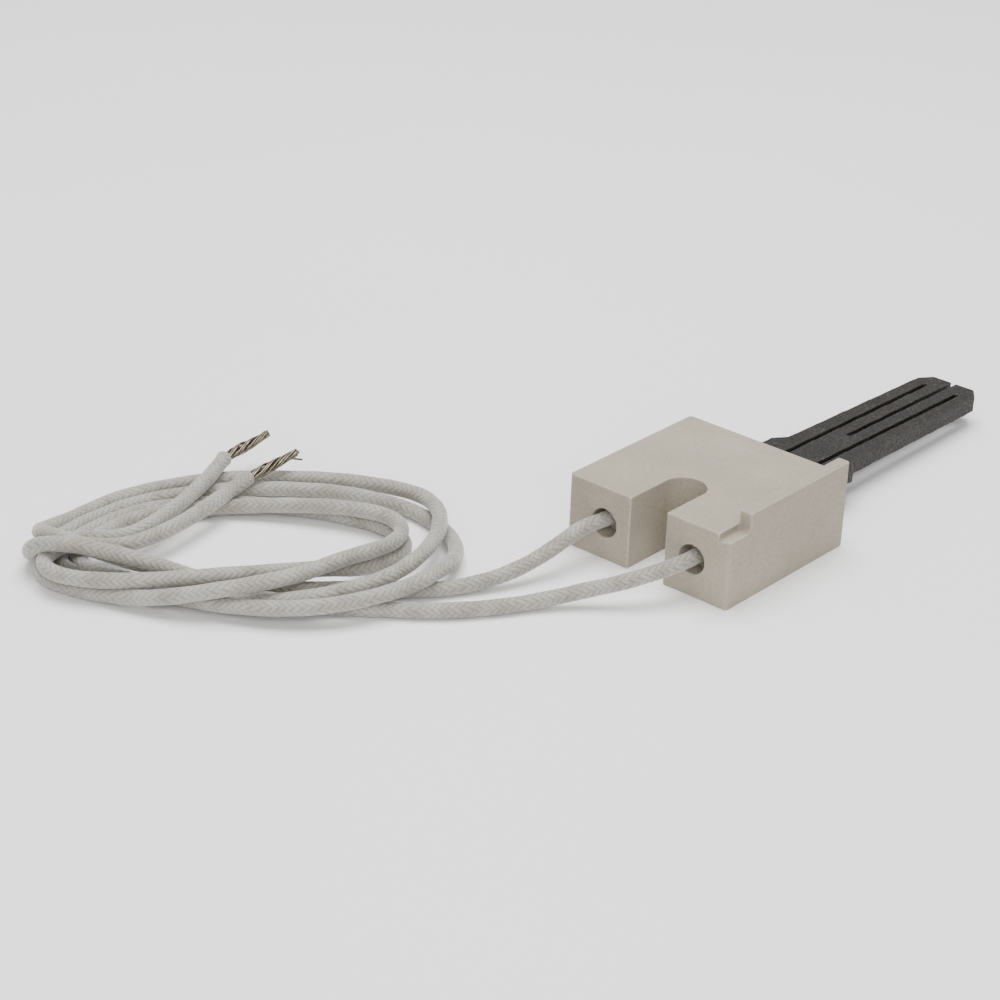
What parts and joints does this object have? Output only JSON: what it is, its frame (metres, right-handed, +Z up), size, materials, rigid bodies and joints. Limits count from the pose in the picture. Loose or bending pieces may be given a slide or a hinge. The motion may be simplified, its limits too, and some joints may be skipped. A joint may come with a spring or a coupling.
{
  "type": "hot surface ignition electrode",
  "caption": "Slotted silicon carbide igniter element cemented in a ceramic block with a screw notch, with braided high-temperature leads coiled beside it.",
  "frame": {"origin": "on the block's seat, on the axis of the half-round end of the screw notch", "axes": "+Z up out of the seat, +Y along the element towards its tip, +X towards the block's ribbed side"},
  "size_m": [0.1009, 0.1624, 0.0154],
  "materials": {
    "pressed_ceramic": "matt",
    "silicon_carbide": "matt",
    "cement": "matt",
    "sprayed_aluminium": "matt",
    "clip_metal": "satin",
    "bare_strands": "satin",
    "glass_braid": "matt"
  },
  "bodies": {
    "root": {"ceramic_block": "pressed_ceramic", "heating_element": "silicon_carbide", "pocket_cement": "cement", "left_bore_cement": "cement", "right_bore_cement": "cement", "left_contact_coating": "sprayed_aluminium", "right_contact_coating": "sprayed_aluminium", "left_terminal_clip": "clip_metal", "right_terminal_clip": "clip_metal", "left_root_conductor": "bare_strands", "right_root_conductor": "bare_strands", "lead_coil": "glass_braid", "left_lead": "glass_braid", "right_lead": "glass_braid", "left_lead_tail": "glass_braid", "right_lead_tail": "glass_braid", "left_bare_end": "bare_strands", "right_bare_end": "bare_strands"}
  },
  "joints": []
}
